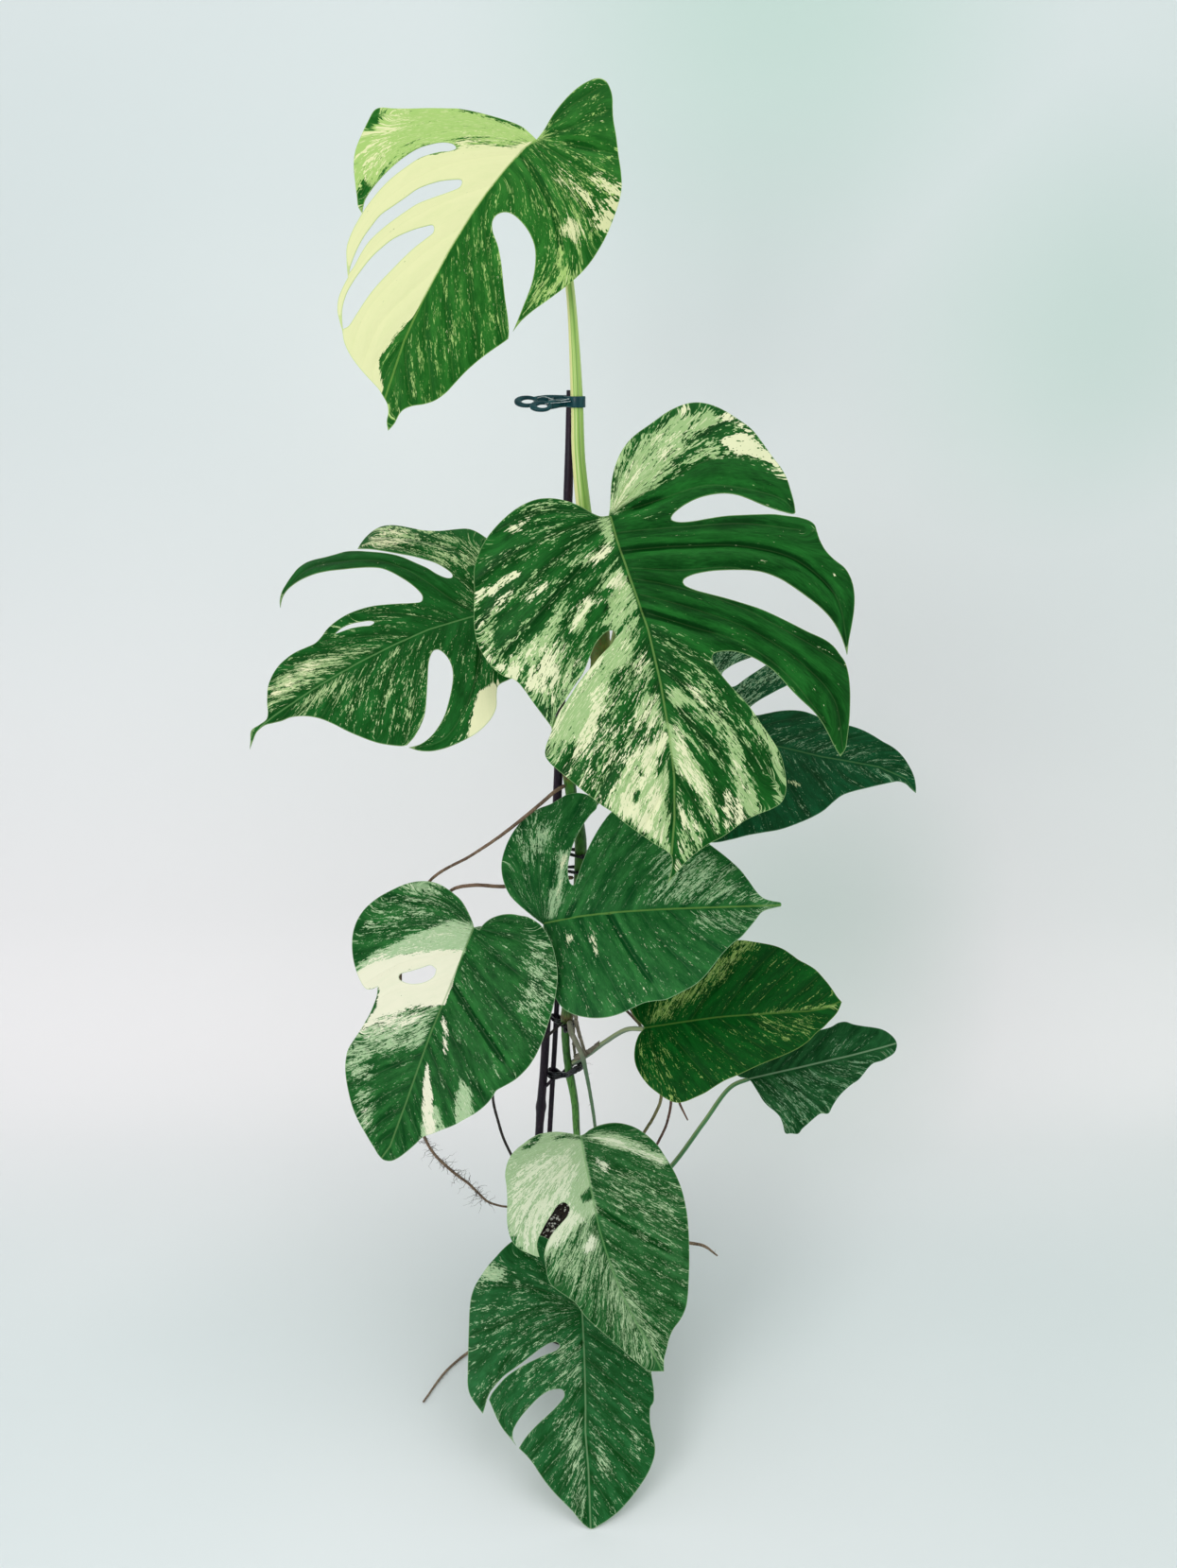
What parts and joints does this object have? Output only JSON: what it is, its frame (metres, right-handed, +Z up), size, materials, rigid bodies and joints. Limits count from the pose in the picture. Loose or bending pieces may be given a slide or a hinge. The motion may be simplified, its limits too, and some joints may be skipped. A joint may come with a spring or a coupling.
{
  "type": "potted variegated monstera",
  "caption": "Potted albo variegata monstera: cut, white-marbled leaves on a staked climbing stem with aerial roots, in a round nursery pot with soil.",
  "frame": {"origin": "middle of the pot's underside", "axes": "+Z up along the stem, -Y towards the front, where most leaves face, +X to the right seen from the front"},
  "size_m": [0.5586, 0.3026, 1.1257],
  "materials": {
    "pot_plastic": "satin",
    "potting_soil": "matte",
    "vine_green": "satin",
    "petiole_green": "satin",
    "leaf_green": "satin",
    "leaf_marbled": "satin",
    "root_brown": "matte",
    "stake_dark": "satin",
    "clip_teal": "satin",
    "spring_steel": "satin",
    "tie_black": "gloss"
  },
  "bodies": {
    "root": {"pot": "pot_plastic", "soil": "potting_soil", "vine_stem": "vine_green", "stake_tall": "stake_dark", "stake_short": "stake_dark", "clip_spring": "spring_steel", "leaf_1": "leaf_marbled", "leaf_2": "leaf_green", "leaf_3": "leaf_marbled", "leaf_4": "leaf_green", "leaf_5": "leaf_green", "leaf_6": "leaf_green", "leaf_7": "leaf_green", "leaf_8": "leaf_green", "leaf_9": "leaf_green", "leaf_10": "leaf_green", "petiole_1": "petiole_green", "petiole_2": "petiole_green", "petiole_3": "petiole_green", "petiole_4": "petiole_green", "petiole_5": "petiole_green", "petiole_6": "petiole_green", "petiole_7": "petiole_green", "petiole_8": "petiole_green", "petiole_9": "petiole_green", "petiole_10": "petiole_green", "aerial_root_1": "root_brown", "aerial_root_2": "root_brown", "aerial_root_3": "root_brown", "aerial_root_4": "root_brown", "aerial_root_5": "root_brown", "aerial_root_6": "root_brown", "aerial_root_7": "root_brown", "aerial_root_8": "root_brown", "aerial_root_9": "root_brown", "stem_tie_1": "tie_black", "stem_tie_2": "tie_black", "stem_tie_3": "tie_black", "stem_tie_4": "tie_black", "clip_jaw_back": "clip_teal", "clip_jaw_front": "clip_teal"}
  },
  "joints": []
}
